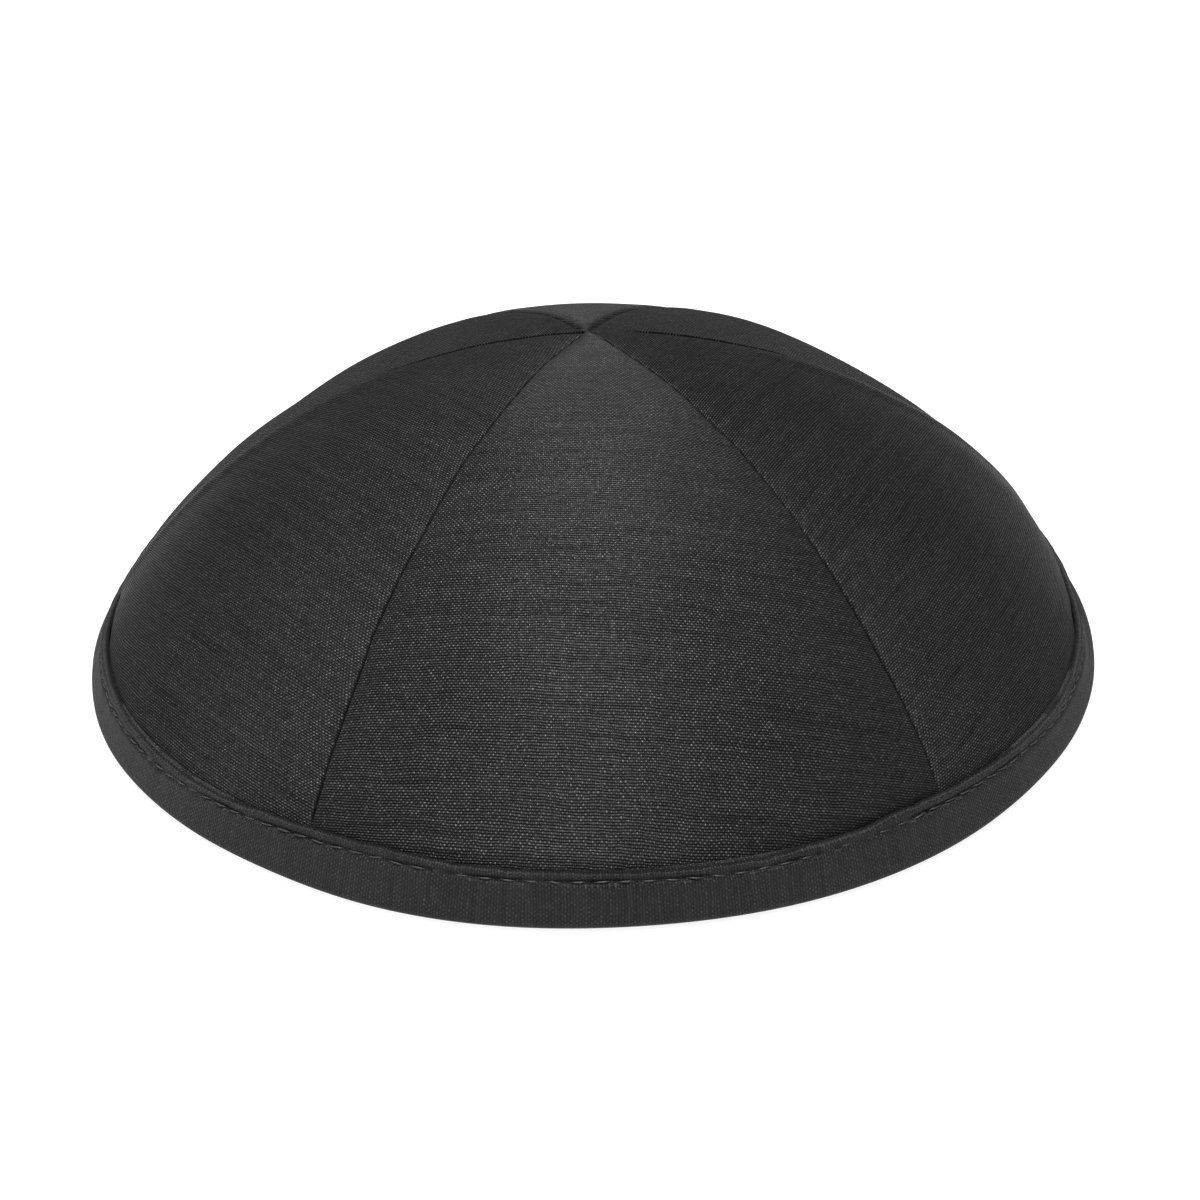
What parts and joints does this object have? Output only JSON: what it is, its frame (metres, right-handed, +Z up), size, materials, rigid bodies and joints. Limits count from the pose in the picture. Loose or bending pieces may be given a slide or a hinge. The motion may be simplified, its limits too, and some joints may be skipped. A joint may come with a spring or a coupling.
{
  "type": "kippah",
  "caption": "Domed cloth skullcap of wedge-shaped gores with a pale lining, a folded rim band and a hair clip sewn inside, worn on the crown of the head.",
  "frame": {"origin": "centre of the rim's outline, on the surface that the rim rests on", "axes": "+Z up through the top point where the gores meet; +Y to the back, where the clip is; the front gore faces -Y; +X to the right as seen from the front"},
  "size_m": [0.1648, 0.1716, 0.0479],
  "materials": {
    "gore_cloth": "black raw silk with a soft sheen",
    "binding_cloth": "black raw silk, folded and topstitched",
    "lining_cloth": "white satin",
    "clip_metal": "nickel-plated steel"
  },
  "bodies": {
    "root": {"gore_front": "gore_cloth", "gore_front_right": "gore_cloth", "gore_back_right": "gore_cloth", "gore_back": "gore_cloth", "gore_back_left": "gore_cloth", "gore_front_left": "gore_cloth", "lining_front": "lining_cloth", "lining_right": "lining_cloth", "lining_back": "lining_cloth", "lining_left": "lining_cloth", "rim_binding": "binding_cloth", "clip": "clip_metal"}
  },
  "joints": []
}
